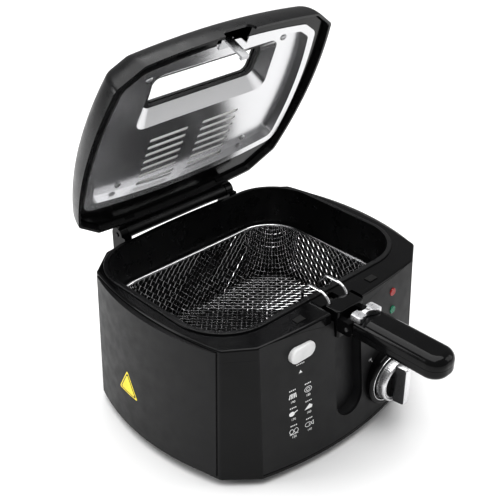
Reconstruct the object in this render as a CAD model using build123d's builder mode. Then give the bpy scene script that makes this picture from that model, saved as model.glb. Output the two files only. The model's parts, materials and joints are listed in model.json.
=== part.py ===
"""Cool-wall deep fryer with a hinged lid, a lift-out basket and a folding basket handle."""
import os

from build123d import *

os.makedirs("parts", exist_ok=True)

# ---------------------------------------------------------------- driving dimensions (mm)
# The design frame has X = 0 on the centre line, Y = 0 at the middle of the body, front at -Y,
# and Z = 0 at the soles of the feet. Every piece is moved by BODY_Y when it is written, which
# puts the origin under the middle of the whole object with its lid open and its handle out.
BODY_Y = 42.805

BASE_Z, SHELL_TOP, RIM_Z = 8.0, 143.0, 155.5
WALL = 2.4
SEAT = 0.15                       # gap between trim panels and the shell behind them

FRONT_HALF, FRONT_END, FRONT_MID = 106.9, 108.4, 116.0
CORNER_X, CORNER_Y, SIDE_MID = 133.3, 89.4, 145.0
BACK_HALF, BACK_CORNER, BACK_END, BACK_MID = 104.1, 91.1, 114.8, 121.5
CORNER_R = 6.0

POT_W, POT_D, POT_Y, POT_R = 262.0, 197.5, 13.75, 52.0
POT_FLOOR, POT_T, POT_TAPER = 38.0, 1.5, 3.0
LIP_Z = 157.4

SLOT_HALF, SLOT_LOW, SLOT_DEPTH = 18.4, 33.6, 12.0
NOTCH_HALF, NOTCH_LOW, NOTCH_BACK = 22.0, 124.0, -102.5

BUTTON_X, BUTTON_Z, BUTTON_W, BUTTON_H = -59.0, 131.5, 31.0, 16.0
KNOB_X, KNOB_Z, KNOB_R, RING_R = 55.0, 50.0, 22.5, 30.0
LAMP_X, RED_Z, GREEN_Z, LAMP_R = 70.0, 137.0, 117.0, 4.2

HINGE_Y, HINGE_Z, HINGE_R, PIN_R = 131.3, 157.7, 8.0, 2.5
HINGE_OUT, HINGE_MID, HINGE_IN, BARREL_BORE = 78.0, 68.0, 57.0, 6.0
LID_OPEN = 64.3                   # degrees above closed, as drawn
LID_Z, LID_TOP, LID_T = 158.2, 190.0, 2.5
LINER_Z, FLANGE_Z, LINER_T = 171.4, 163.0, 0.8
WINDOW_HALF, WINDOW_FRONT, WINDOW_BACK = 65.0, -58.5, -24.5
RECESS_Z, RECESS_HALF, RECESS_FRONT, RECESS_BACK = 181.0, 70.0, -60.5, -22.5
RECESS_FOOT = ((84.0, -8.0), (77.5, -75.0))      # half width and depth of the recess in the liner
PANE_Z, PANE_T = 185.8, 1.5
VENT_IN, VENT_OUT, VENT_FIRST, VENT_PITCH, VENT_W = 9.4, 57.7, 75.1, 10.15, 4.4
VENT_COUNT = 7
SCREW_X, SCREW_BACK, SCREW_FRONT = 83.7, 65.2, -74.7

RING_W, RING_D, RING_Y, RING_Z = 243.4, 178.4, 15.8, 112.5
BASKET_BOTTOM, BASKET_T, BASKET_TAPER, BASKET_R = 50.0, 1.2, 5.0, 44.0
WIRE_R = 1.5
ARC_X, ARC_TOP, ARC_IN, ARC_OUT = 12.0, 164.5, -70.5, -105.5

PIVOT_Y, PIVOT_Z, HANDLE_PIN_R = -131.0, 143.0, 2.0
BRACKET_HALF, BRACKET_FRONT, BRACKET_BACK = 17.0, -136.0, -103.0
BRACKET_LOW, BRACKET_TOP = 128.5, 157.0
HANDLE_TIP, HANDLE_HALF, HANDLE_LOW, HANDLE_TOP = -233.0, 17.0, 136.0, 158.5
HANDLE_ROOT, SEAM_Z, SEAM_GAP = -138.5, 146.5, 0.3
SLIDER_SEAT, SLIDER_FRONT, SLIDER_BACK, SLIDER_TRAVEL = 154.4, -145.5, -132.0, 5.0

GLAND_X, GLAND_Z = 84.0, 34.0

LID_AXIS = Axis((0, HINGE_Y, HINGE_Z), (1, 0, 0))


# ---------------------------------------------------------------- shared shapes
def outline(z, inset=0.0, corner=CORNER_R):
    """Face of the body's plan outline at height z, pulled in by inset: bowed sides, cut corners."""
    lean = (LIP_Z - z) / (LIP_Z - BASE_Z) if z < LIP_Z else 0.0
    fx, fy = FRONT_HALF - 0.32 * inset, -(FRONT_END + 6.6 * lean - inset)
    fm = -(FRONT_MID + 15.0 * lean - inset)
    cx, cy = CORNER_X + 2.7 * lean - inset, -(CORNER_Y - 0.51 * inset)
    sm = SIDE_MID + 3.5 * lean - inset
    bx, by = BACK_HALF - 0.32 * inset, BACK_END + 5.0 * lean - inset
    bm, bc = BACK_MID + 6.0 * lean - inset, BACK_CORNER + 4.0 * lean - 0.51 * inset
    with BuildSketch(Plane.XY.offset(z), mode=Mode.PRIVATE) as sketch:
        with BuildLine():
            ThreePointArc((-fx, fy), (0, fm), (fx, fy))
            Line((fx, fy), (cx, cy))
            ThreePointArc((cx, cy), (sm, 0), (cx, bc))
            Line((cx, bc), (bx, by))
            ThreePointArc((bx, by), (0, bm), (-bx, by))
            Line((-bx, by), (-cx, bc))
            ThreePointArc((-cx, bc), (-sm, 0), (-cx, cy))
            Line((-cx, cy), (-fx, fy))
        make_face()
        fillet(sketch.vertices(), max(corner - inset, 1.0))
    return sketch.sketch


def body_block(low, high, inset=0.0):
    """Solid of the body's outline between two heights."""
    with BuildPart(mode=Mode.PRIVATE) as solid:
        loft([outline(low, inset).face(), outline(high, inset).face()])
    return solid.part


def front_slab(near, far, low=BASE_Z, high=LIP_Z):
    """Slice of the bowed, leaning front between two depths behind its outer face."""
    sections = []
    for z in (low, high):
        lean = (LIP_Z - z) / (LIP_Z - BASE_Z)
        end, mid, half = FRONT_END + 6.6 * lean, FRONT_MID + 15.0 * lean, FRONT_HALF - 1.2
        with BuildSketch(Plane.XY.offset(z), mode=Mode.PRIVATE) as sketch:
            with BuildLine():
                ThreePointArc((-half, near - end), (0, near - mid), (half, near - end))
                Line((half, near - end), (half, far - end))
                ThreePointArc((half, far - end), (0, far - mid), (-half, far - end))
                Line((-half, far - end), (-half, near - end))
            make_face()
        sections.append(sketch.sketch.face())
    with BuildPart(mode=Mode.PRIVATE) as slab:
        loft(sections)
    return slab.part


def side_slab(side, low, high):
    """Side panel: a bowed sheet that stands a little proud of the shell, thickest in the middle."""
    sections = []
    for z in (low, high):
        lean = (LIP_Z - z) / (LIP_Z - BASE_Z)
        x_end, x_mid = CORNER_X + 2.7 * lean, SIDE_MID + 3.5 * lean
        front, back = 4.0 - CORNER_Y, BACK_CORNER + 4.0 * lean - 4.0
        inner, outer, middle = side * (x_end - 3.0), side * (x_end + 2.4), side * (x_mid + 5.5)
        with BuildSketch(Plane.XY.offset(z), mode=Mode.PRIVATE) as sketch:
            with BuildLine():
                Line((inner, back), (outer, back))
                ThreePointArc((outer, back), (middle, 0), (outer, front))
                Line((outer, front), (inner, front))
                Line((inner, front), (inner, back))
            make_face()
        sections.append(sketch.sketch.face())
    with BuildPart(mode=Mode.PRIVATE) as slab:
        loft(sections)
    return slab.part


def tapered(z, size, centre_y, radius, depth, taper):
    """Rounded rectangle of the given size at height z, drawn down by depth with a draft angle."""
    with BuildSketch(Plane.XY.offset(z), mode=Mode.PRIVATE) as sketch:
        with Locations((0, centre_y)):
            RectangleRounded(size[0], size[1], radius)
    with BuildPart(mode=Mode.PRIVATE) as core:
        extrude(sketch.sketch, amount=-depth, taper=taper)
    return core.part


def slot_shape(grow=0.0, low=SLOT_LOW, top=LIP_Z + 20.0):
    """Upright slot with a round bottom, as a sketch on the XZ plane."""
    half = SLOT_HALF + grow
    with BuildSketch(Plane.XZ, mode=Mode.PRIVATE) as sketch:
        with Locations((0, low - grow + half)):
            Circle(half)
        with Locations((0, (low - grow + half + top) / 2)):
            Rectangle(2 * half, top - (low - grow + half))
    return sketch.sketch


def through_front(shape):
    """The sketch shape, standing on the XZ plane, pushed forward past the front of the body."""
    with BuildPart(mode=Mode.PRIVATE) as cutter:
        extrude(shape, amount=150.0)
    return cutter.part


def tube_along(path, radius):
    """Round wire along a path."""
    start = Plane(origin=path @ 0, z_dir=path % 0)
    with BuildPart(mode=Mode.PRIVATE) as wire:
        with BuildSketch(start):
            Circle(radius)
        sweep(path=path)
    return wire.part


def cyl_x(x0, x1, y, z, radius):
    """Cylinder along X between two stations."""
    with BuildPart(mode=Mode.PRIVATE) as cylinder:
        with BuildSketch(Plane.YZ.offset(x0)):
            with Locations((y, z)):
                Circle(radius)
        extrude(amount=x1 - x0)
    return cylinder.part


def cyl_y(x, z, y0, y1, radius):
    """Cylinder along Y between two stations."""
    with BuildPart(mode=Mode.PRIVATE) as cylinder:
        with BuildSketch(Plane.XZ.offset(-y0)):
            with Locations((x, z)):
                Circle(radius)
        extrude(amount=y0 - y1)
    return cylinder.part


def block(x0, x1, y0, y1, z0, z1):
    """Plain box between corner stations."""
    with BuildPart(mode=Mode.PRIVATE) as box:
        with Locations(((x0 + x1) / 2, (y0 + y1) / 2, (z0 + z1) / 2)):
            Box(x1 - x0, y1 - y0, z1 - z0)
    return box.part


def fascia_edge(grow=0.0):
    """Outline of the front fascia on the XZ plane: its top sweeps down towards the handle."""
    half, low, dip = FRONT_HALF, BASE_Z + 3.5 - grow, RIM_Z - 10.0 + grow
    with BuildSketch(Plane.XZ, mode=Mode.PRIVATE) as sketch:
        with BuildLine():
            Line((-half, low), (half, low))
            Line((half, low), (half, RIM_Z - 1.0 + grow))
            ThreePointArc((half, RIM_Z - 1.0 + grow), (66.0, RIM_Z - 3.2 + grow), (32.0, dip))
            Line((32.0, dip), (-32.0, dip))
            ThreePointArc((-32.0, dip), (-66.0, RIM_Z - 3.2 + grow), (-half, RIM_Z - 1.0 + grow))
            Line((-half, RIM_Z - 1.0 + grow), (-half, low))
        make_face()
    return sketch.sketch


def front_y(x, z):
    """Y of the front's outer face at a station, from its bow and its lean."""
    lean = (LIP_Z - z) / (LIP_Z - BASE_Z)
    bow = FRONT_MID - FRONT_END + 8.4 * lean
    return -(FRONT_MID + 15.0 * lean) + bow * (x / FRONT_HALF) ** 2


def liner_outline(z, inset, corner):
    """Face of the lid liner's plan outline at height z, pulled in by inset: square at the hinge side."""
    fx, fy, fm = 99.0 - 0.32 * inset, inset - 93.5, inset - 101.0
    cx, cy, sm = 119.5 - inset, 0.51 * inset - 79.0, 131.5 - inset
    rx, ry, rm = 128.0 - inset, 76.0 - inset, 88.0 - inset
    with BuildSketch(Plane.XY.offset(z), mode=Mode.PRIVATE) as sketch:
        with BuildLine():
            ThreePointArc((-fx, fy), (0, fm), (fx, fy))
            Line((fx, fy), (cx, cy))
            ThreePointArc((cx, cy), (sm, 0), (rx, ry))
            ThreePointArc((rx, ry), (0, rm), (-rx, ry))
            ThreePointArc((-rx, ry), (-sm, 0), (-cx, cy))
            Line((-cx, cy), (-fx, fy))
        make_face()
        fillet(sketch.vertices(), corner)
    return sketch.sketch.face()


def recess_block(grow, low, high):
    """Flared window recess between two heights: wide in the liner, narrow at the window."""
    (half_back, back), (half_front, front) = RECESS_FOOT
    faces = []
    for z, points, radius in (
        (low, ((-half_back, back), (half_back, back), (half_front, front), (-half_front, front)), 12.0),
        (high, ((-RECESS_HALF, RECESS_BACK), (RECESS_HALF, RECESS_BACK),
                (RECESS_HALF, RECESS_FRONT), (-RECESS_HALF, RECESS_FRONT)), 8.0),
    ):
        with BuildSketch(Plane.XY.offset(z), mode=Mode.PRIVATE) as sketch:
            Polygon(*points, align=None)
            fillet(sketch.vertices(), radius)
            if grow:
                offset(amount=grow)
        faces.append(sketch.sketch.face())
    with BuildPart(mode=Mode.PRIVATE) as solid:
        loft(faces)
    return solid.part


def window_plate(half, front, back, radius, z, thickness):
    """Rounded plate that lies in the lid at height z."""
    with BuildPart(mode=Mode.PRIVATE) as plate:
        with BuildSketch(Plane.XY.offset(z)):
            with Locations((0, (front + back) / 2)):
                RectangleRounded(2 * half, back - front, radius)
        extrude(amount=thickness)
    return plate.part


written = []


def finish(part, name, lid=False):
    """Open the lid's pieces, move the piece to the object's frame, label it and write it."""
    if lid:
        part = part.rotate(LID_AXIS, -LID_OPEN)
    solids = [solid.moved(Location((0, BODY_Y, 0))) for solid in part.solids()]
    placed = solids[0] if len(solids) == 1 else Compound(children=solids)
    placed.label = name
    export_step(placed, f"parts/{name}.step")
    written.append(placed)


# ---------------------------------------------------------------- body shell and trim
with BuildPart() as housing:
    add(body_block(BASE_Z, SHELL_TOP))
    add(body_block(BASE_Z + 2.0, SHELL_TOP + 1, inset=WALL), mode=Mode.SUBTRACT)
    with BuildSketch(Plane.XY.offset(BASE_Z - 1.0)):
        add(outline(BASE_Z, WALL + 5.0))
    extrude(amount=4.0, mode=Mode.SUBTRACT)
    add(front_slab(-30.0, WALL + SEAT, BASE_Z + 3, SHELL_TOP + 5), mode=Mode.SUBTRACT)
    add(cyl_y(GLAND_X, GLAND_Z, 110.0, 140.0, 8.0), mode=Mode.SUBTRACT)
finish(housing.part, "housing")

with BuildPart() as collar:
    add(body_block(SHELL_TOP + 0.1, RIM_Z))
    fillet(collar.faces().sort_by(Axis.Z)[-1].outer_wire().edges(), 2.2)
    with BuildSketch(Plane.XY.offset(SHELL_TOP - 5)):
        with Locations((0, POT_Y)):
            RectangleRounded(POT_W + 1.0, POT_D + 1.0, POT_R)
    extrude(amount=40.0, mode=Mode.SUBTRACT)
    add(block(-NOTCH_HALF, NOTCH_HALF, -140, NOTCH_BACK, SHELL_TOP - 5, RIM_Z + 5), mode=Mode.SUBTRACT)
    add(block(-5.5, 5.5, -101.5, -87.6, SHELL_TOP - 5, 152.0), mode=Mode.SUBTRACT)
    add(block(-5.5, 5.5, -101.5, -92.0, SHELL_TOP - 5, RIM_Z + 5), mode=Mode.SUBTRACT)
    add(front_slab(-30.0, WALL + SEAT) & through_front(fascia_edge(0.3)), mode=Mode.SUBTRACT)
finish(collar.part, "rim_collar")

for side, name in ((-1, "side_panel_left"), (1, "side_panel_right")):
    with BuildPart() as panel:
        add(side_slab(side, BASE_Z + 3.0, RIM_Z - 3.0))
        add(body_block(BASE_Z, RIM_Z, inset=-SEAT), mode=Mode.SUBTRACT)
    finish(panel.part, name)

with BuildSketch(Plane.XZ) as fascia_shape:
    add(fascia_edge())
    add(slot_shape(), mode=Mode.SUBTRACT)
    with Locations((BUTTON_X, BUTTON_Z)):
        SlotOverall(BUTTON_W + 0.8, BUTTON_H + 0.8, mode=Mode.SUBTRACT)
    with Locations((KNOB_X, KNOB_Z)):
        Circle(RING_R - 4.0, mode=Mode.SUBTRACT)
    with Locations((LAMP_X, RED_Z), (LAMP_X, GREEN_Z)):
        Circle(LAMP_R + 0.1, mode=Mode.SUBTRACT)
with BuildPart() as fascia:
    add(front_slab(0.0, WALL))
    add(through_front(fascia_shape.sketch), mode=Mode.INTERSECT)
finish(fascia.part, "front_panel")

with BuildPart() as tray:
    add(front_slab(WALL + SEAT, SLOT_DEPTH + 2.0))
    add(through_front(slot_shape(2.0, top=NOTCH_LOW - 2.0)), mode=Mode.INTERSECT)
    add(front_slab(-5.0, SLOT_DEPTH) & through_front(slot_shape()), mode=Mode.SUBTRACT)
finish(tray.part, "handle_recess")


# ---------------------------------------------------------------- release button and its latch
button_y = front_y(BUTTON_X, BUTTON_Z)
with BuildPart() as button:
    with BuildSketch(Plane.XZ.offset(-(button_y + 6.0))):
        with Locations((BUTTON_X, BUTTON_Z)):
            SlotOverall(BUTTON_W, BUTTON_H)
    extrude(amount=9.0)
    fillet(button.faces().sort_by(Axis.Y)[0].edges(), 1.6)
    with BuildSketch(Plane.XZ.offset(-(button_y + 8.0))):
        with Locations((BUTTON_X, BUTTON_Z)):
            SlotOverall(BUTTON_W + 4.0, BUTTON_H + 4.0)
    extrude(amount=2.0)
    with BuildSketch(Plane.XZ.offset(-(button_y + 16.6))):
        with Locations((BUTTON_X, BUTTON_Z)):
            Rectangle(8.0, 6.0)
    extrude(amount=8.6)
finish(button.part, "release_button")

with BuildPart() as latch:
    add(block(BUTTON_X - 4.0, BUTTON_X + 4.0, -99.0, -93.0, 127.5, 141.0))
    add(block(BUTTON_X - 4.0, 4.5, -99.0, -93.0, 137.0, 141.0))
    add(block(-4.5, 4.5, -94.2, -92.2, 137.0, 150.0))
    add(block(-4.5, 4.5, -96.2, -92.2, 147.4, 150.0))
finish(latch.part, "latch_lever")
with BuildPart() as rest_pads:
    for x in (-50.0, 50.0):
        add(block(x - 5.5, x + 5.5, -106.0, -98.5, RIM_Z + 0.05, RIM_Z + 0.9))
    chamfer(rest_pads.faces().sort_by(Axis.Z)[-1].edges(), 0.3)
finish(rest_pads.part, "lid_rest_pads")

# ---------------------------------------------------------------- indicator lamps
for lamp_z, name in ((RED_Z, "red_lamp_lens"), (GREEN_Z, "green_lamp_lens")):
    lamp_y = front_y(LAMP_X, lamp_z)
    with BuildPart() as lens:
        add(cyl_y(LAMP_X, lamp_z, lamp_y - 1.2, lamp_y + 8.0, LAMP_R))
        fillet(lens.faces().sort_by(Axis.Y)[0].edges(), 1.0)
        add(cyl_y(LAMP_X, lamp_z, lamp_y + 5.0, lamp_y + 8.0, LAMP_R + 1.0))
    finish(lens.part, name)
with BuildPart() as lamp_holder:
    add(block(LAMP_X - 8, LAMP_X + 8, -100.5, -96.0, GREEN_Z - 8, RED_Z + 5.5))
    for lamp_z in (RED_Z, GREEN_Z):
        add(block(LAMP_X - 3, LAMP_X + 3, -101.9, -100.5, lamp_z - 3, lamp_z + 3))
finish(lamp_holder.part, "lamp_holder")

# ---------------------------------------------------------------- thermostat and its knob
knob_seat = front_y(KNOB_X - RING_R, KNOB_Z) - 2.0
with BuildPart() as ring:
    add(cyl_y(KNOB_X, KNOB_Z, knob_seat - 4.0, knob_seat + 12.0, RING_R))
    fillet(ring.faces().sort_by(Axis.Y)[0].edges(), 2.5)
    add(cyl_y(KNOB_X, KNOB_Z, knob_seat - 6.0, knob_seat - 2.5, RING_R - 5.0), mode=Mode.SUBTRACT)
    add(cyl_y(KNOB_X, KNOB_Z, knob_seat - 6.0, knob_seat + 20.0, 5.0), mode=Mode.SUBTRACT)
    add(front_slab(-0.05, 40.0), mode=Mode.SUBTRACT)
finish(ring.part, "knob_surround")

SHAFT_R, GRIP_DEPTH = 3.0, 26.0
with BuildPart() as knob:
    add(cyl_y(KNOB_X, KNOB_Z, knob_seat - 14.0, knob_seat - 3.0, KNOB_R))
    fillet(knob.faces().sort_by(Axis.Y)[0].edges(), 2.0)
    add(block(KNOB_X - 6.5, KNOB_X + 6.5, knob_seat - GRIP_DEPTH, knob_seat - 8.0, KNOB_Z - 22, KNOB_Z + 22))
    add(cyl_y(KNOB_X, KNOB_Z, knob_seat - 10.0, knob_seat - 1.0, SHAFT_R), mode=Mode.SUBTRACT)
finish(knob.part, "thermostat_knob")

THERMO_BACK, THERMO_FRONT = -92.0, -113.0
with BuildPart() as thermostat:
    add(block(KNOB_X - 15, KNOB_X + 15, THERMO_FRONT, THERMO_BACK, KNOB_Z - 13, KNOB_Z + 13))
    add(cyl_y(KNOB_X, KNOB_Z, THERMO_FRONT - 5.0, THERMO_FRONT, 5.5))
    add(cyl_y(KNOB_X, KNOB_Z, -140.0, THERMO_FRONT + 6.0, SHAFT_R + 0.05), mode=Mode.SUBTRACT)
finish(thermostat.part, "thermostat_body")
with BuildPart() as shaft:
    add(cyl_y(KNOB_X, KNOB_Z, knob_seat - 10.0, THERMO_FRONT + 5.8, SHAFT_R))
finish(shaft.part, "thermostat_shaft")

# ---------------------------------------------------------------- oil pot and heating
POT_SIZE, POT_INNER = (POT_W, POT_D), (POT_W - 2 * POT_T, POT_D - 2 * POT_T)
with BuildPart() as pot_core:
    add(tapered(LIP_Z, POT_INNER, POT_Y, POT_R - POT_T, LIP_Z - POT_FLOOR - POT_T, POT_TAPER))
    fillet(pot_core.faces().sort_by(Axis.Z)[0].edges(), 12.5)
with BuildPart() as pot:
    add(tapered(LIP_Z, POT_SIZE, POT_Y, POT_R, LIP_Z - POT_FLOOR, POT_TAPER))
    fillet(pot.faces().sort_by(Axis.Z)[0].edges(), 14.0)
    with BuildSketch(Plane.XY.offset(RIM_Z + 0.1)):
        with Locations((0, POT_Y)):
            RectangleRounded(POT_W + 6.0, POT_D + 6.0, POT_R + 3.0)
    extrude(amount=LIP_Z - RIM_Z - 0.1)
    add(pot_core.part, mode=Mode.SUBTRACT)
    fillet(pot.faces().sort_by(Axis.Z)[-1].outer_wire().edges(), 0.9)
finish(pot.part, "oil_pot")

ELEMENT_R, ELEMENT_Z = 4.0, POT_FLOOR - 4.4
with BuildLine(Plane.XY.offset(ELEMENT_Z)) as element_path:
    FilletPolyline((-12, -42), (-86, -42), (-86, 70), (86, 70), (86, -42), (12, -42), radius=26.0)
with BuildPart() as element:
    add(tube_along(element_path.wires()[0], ELEMENT_R))
    for low_x, high_x in ((-12.0, -6.0), (6.0, 12.0)):
        add(cyl_x(low_x, high_x, -42.0, ELEMENT_Z, 2.0))
finish(element.part, "heating_element")

with BuildPart() as bulb:
    add(cyl_x(-40, 40, 10.0, POT_FLOOR - 3.0, 2.6))
finish(bulb.part, "thermostat_bulb")
with BuildPart() as cutout:
    with Locations((0, -20, POT_FLOOR - 4.2)):
        Cylinder(8.0, 8.0)
    with Locations((0, -20, POT_FLOOR - 9.0)):
        Box(22.0, 5.0, 1.2)
finish(cutout.part, "thermal_cutout")

with BuildPart() as shield:
    with BuildSketch(Plane.XY.offset(20.0)):
        with Locations((0, POT_Y)):
            RectangleRounded(208, 150, 40)
    extrude(amount=1.2)
    with Locations((-80, 70, 15.5), (80, 70, 15.5), (-80, -42, 15.5), (80, -42, 15.5)):
        Cylinder(3.5, 9.0)
finish(shield.part, "heat_shield")

# ---------------------------------------------------------------- base, feet and inlet
with BuildPart() as base:
    with BuildSketch(Plane.XY.offset(BASE_Z - 2.2)):
        add(outline(BASE_Z, WALL + 0.4))
        with GridLocations(22.0, 60.0, 5, 2):
            SlotOverall(34.0, 4.0, rotation=90, mode=Mode.SUBTRACT)
    extrude(amount=2.0)
    with Locations((-80, 70, 9.3), (80, 70, 9.3), (-80, -42, 9.3), (80, -42, 9.3)):
        Cylinder(5.0, 3.2)
finish(base.part, "base_plate")

FOOT_X, FOOT_FRONT, FOOT_BACK, FOOT_R = 104.0, -86.0, 92.0, 10.0
with BuildPart() as feet:
    with Locations(*[(x, y, 2.85) for x in (-FOOT_X, FOOT_X) for y in (FOOT_FRONT, FOOT_BACK)]):
        Cylinder(FOOT_R, 5.7)
    chamfer(feet.faces().group_by(Axis.Z)[0].edges(), 1.0)
finish(feet.part, "feet")
with BuildPart() as base_screws:
    with Locations(*[(x, y, 4.6) for x in (-112.0, 112.0) for y in (-58.0, 62.0)]):
        Cylinder(3.4, 2.0)
finish(base_screws.part, "base_screws")

with BuildPart() as gland:
    add(cyl_y(GLAND_X, GLAND_Z, 112.0, 134.0, 7.7))
    add(cyl_y(GLAND_X, GLAND_Z, 126.6, 130.0, 11.0))
    add(cyl_y(GLAND_X, GLAND_Z, 110.0, 136.0, 4.0), mode=Mode.SUBTRACT)
finish(gland.part, "cord_gland")
with BuildPart() as terminals:
    add(block(36, 72, 98, 112, 10.5, 24.5))
    for screw in range(3):
        with Locations((43 + 11 * screw, 105, 25.0)):
            Cylinder(2.5, 1.6)
finish(terminals.part, "terminal_block")

# ---------------------------------------------------------------- hinge hardware on the body
with BuildPart() as hinge_brackets:
    for side in (-1, 1):
        low_x, high_x = sorted((side * (HINGE_MID + 0.4), side * HINGE_OUT))
        add(cyl_x(low_x, high_x, HINGE_Y, HINGE_Z, HINGE_R))
        add(block(low_x, high_x, 110.0, HINGE_Y + HINGE_R, 126.0, HINGE_Z))
        add(cyl_x(low_x - 1, high_x + 1, HINGE_Y, HINGE_Z, PIN_R + 0.02), mode=Mode.SUBTRACT)
    chamfer(hinge_brackets.edges().filter_by(Axis.X).group_by(Axis.Z)[0].group_by(Axis.Y)[-1], 10.0)
    add(body_block(BASE_Z, RIM_Z + 4.0, inset=-0.05), mode=Mode.SUBTRACT)
finish(hinge_brackets.part, "hinge_brackets")
with BuildPart() as hinge_pins:
    for side in (-1, 1):
        low_x, high_x = sorted((side * 44.0, side * (HINGE_OUT + 1.0)))
        add(cyl_x(low_x, high_x, HINGE_Y, HINGE_Z, PIN_R))
finish(hinge_pins.part, "hinge_pins")
with BuildPart() as hinge_springs:
    for side in (-1, 1):
        low_x, high_x = sorted((side * 46.0, side * (HINGE_IN - 0.6)))
        add(cyl_x(low_x, high_x, HINGE_Y, HINGE_Z, 5.4))
        add(cyl_x(low_x - 1, high_x + 1, HINGE_Y, HINGE_Z, 3.4), mode=Mode.SUBTRACT)
finish(hinge_springs.part, "hinge_springs")

# ---------------------------------------------------------------- lid
SKIRT = ((LID_Z, 0.0), (172.0, 3.0), (183.0, 9.5), (LID_TOP, 23.0))
PAN_TOP, FLANGE_W, PAN_INSET = LINER_Z + LINER_T, 7.5, 8.5
FRAME_Z, FRAME_T, FRAME_INSET = FLANGE_Z + LINER_T + 0.1, 1.6, 5.2
SCREW_PLACES = [(x, y) for x in (-SCREW_X, SCREW_X) for y in (SCREW_FRONT, SCREW_BACK)]
LINER_NOTCH = block(-20.0, 20.0, -130.0, -91.0, 150.0, LINER_Z - 0.02)


def lid_block(inset, drop):
    """Domed solid of the lid, pulled in by inset and lowered by drop."""
    with BuildPart() as solid:
        loft([outline(z - drop, i + inset, corner=i + inset + 9.0).face() for z, i in SKIRT])
    return solid.part


with BuildPart() as lid_shell:
    add(lid_block(0.0, 0.0))
    add(lid_block(LID_T, LID_T), mode=Mode.SUBTRACT)
    add(window_plate(WINDOW_HALF, WINDOW_FRONT, WINDOW_BACK, 7.0, LID_TOP - 5, 10.0), mode=Mode.SUBTRACT)
    with BuildSketch(Plane.XY.offset(LID_TOP - 5)):
        for side in (-1, 1):
            with Locations(*[(side * 34.0, 24.0 + 9.0 * row) for row in range(6)]):
                SlotOverall(40.0, 3.6)
    extrude(amount=10.0, mode=Mode.SUBTRACT)
    boss_low, boss_high = PAN_TOP + 0.2, LID_TOP - 2.0
    with Locations(*[(x, y, (boss_low + boss_high) / 2) for x, y in SCREW_PLACES]):
        Cylinder(4.5, boss_high - boss_low)
    with Locations(*[(x, y, 177.0) for x, y in SCREW_PLACES]):
        Cylinder(1.7, 14.0, mode=Mode.SUBTRACT)
    for side in (-1, 1):
        low_x, high_x = sorted((side * HINGE_IN, side * (HINGE_MID - 0.1)))
        add(cyl_x(low_x, high_x, HINGE_Y, HINGE_Z, HINGE_R - 0.6))
        add(block(low_x, high_x, 114.5, HINGE_Y, LID_Z + 2.6, LID_Z + 14.0))
        add(block(low_x, high_x, HINGE_Y - 6.0, HINGE_Y + 7.4, HINGE_Z, LID_Z + 9.0))
        add(cyl_x(low_x - 1, high_x + 1, HINGE_Y, HINGE_Z, PIN_R + 0.06), mode=Mode.SUBTRACT)
    add(cyl_x(-HINGE_IN, HINGE_IN, HINGE_Y, HINGE_Z, HINGE_R - 0.6))
    add(block(-HINGE_IN, HINGE_IN, 118.5, HINGE_Y, LID_Z + 3.3, HINGE_Z + HINGE_R - 0.6))
    add(cyl_x(-HINGE_IN, HINGE_IN, HINGE_Y, HINGE_Z, BARREL_BORE), mode=Mode.SUBTRACT)
    with BuildSketch(Plane.XZ.offset(105.0)):
        with Locations((0, 153.0)):
            RectangleRounded(38.0, 25.0, 7.0)
    extrude(amount=25.0, mode=Mode.SUBTRACT)
finish(lid_shell.part, "lid_shell", lid=True)

with BuildPart() as inner_frame:
    with BuildSketch(Plane.XY.offset(FRAME_Z)):
        add(outline(FRAME_Z, FRAME_INSET))
        add(liner_outline(FRAME_Z, FLANGE_W / 2, 12.0), mode=Mode.SUBTRACT)
    extrude(amount=FRAME_T)
    add(LINER_NOTCH, mode=Mode.SUBTRACT)
    add(block(-HINGE_MID - 0.3, HINGE_MID + 0.3, 114.2, 130.0, 160.0, 170.0), mode=Mode.SUBTRACT)
finish(inner_frame.part, "lid_inner_frame", lid=True)

with BuildPart() as liner:
    with BuildSketch(Plane.XY.offset(FLANGE_Z)):
        add(liner_outline(FLANGE_Z, 0.0, 15.0))
    extrude(amount=LINER_T)
    loft([liner_outline(FLANGE_Z, FLANGE_W, 11.0), liner_outline(PAN_TOP, PAN_INSET, 10.5)])
    with BuildPart(mode=Mode.PRIVATE) as hollow:
        loft([liner_outline(FLANGE_Z - 0.01, FLANGE_W + LINER_T, 10.0),
              liner_outline(LINER_Z, PAN_INSET + LINER_T, 9.5)])
    add(hollow.part, mode=Mode.SUBTRACT)
    add(recess_block(LINER_T, PAN_TOP - 0.1, RECESS_Z + LINER_T))
    add(recess_block(0.0, LINER_Z - 0.1, RECESS_Z + LINER_T + 0.1), mode=Mode.SUBTRACT)
    with BuildSketch(Plane.XY.offset(LINER_Z - 1.0)):
        for side in (-1, 1):
            for row in range(VENT_COUNT):
                with Locations((side * (VENT_IN + VENT_OUT) / 2, VENT_FIRST - VENT_PITCH * row)):
                    SlotOverall(VENT_OUT - VENT_IN, VENT_W)
        with Locations(*SCREW_PLACES):
            Circle(1.8)
    extrude(amount=2.5, mode=Mode.SUBTRACT)
    add(LINER_NOTCH, mode=Mode.SUBTRACT)
finish(liner.part, "lid_liner", lid=True)

with BuildPart() as lid_screws:
    with Locations(*[(x, y, LINER_Z - 1.0) for x, y in SCREW_PLACES]):
        Cylinder(3.6, 1.8)
    with Locations(*[(x, y, LINER_Z + 4.5) for x, y in SCREW_PLACES]):
        Cylinder(1.5, 10.0)
finish(lid_screws.part, "lid_screws", lid=True)

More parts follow.
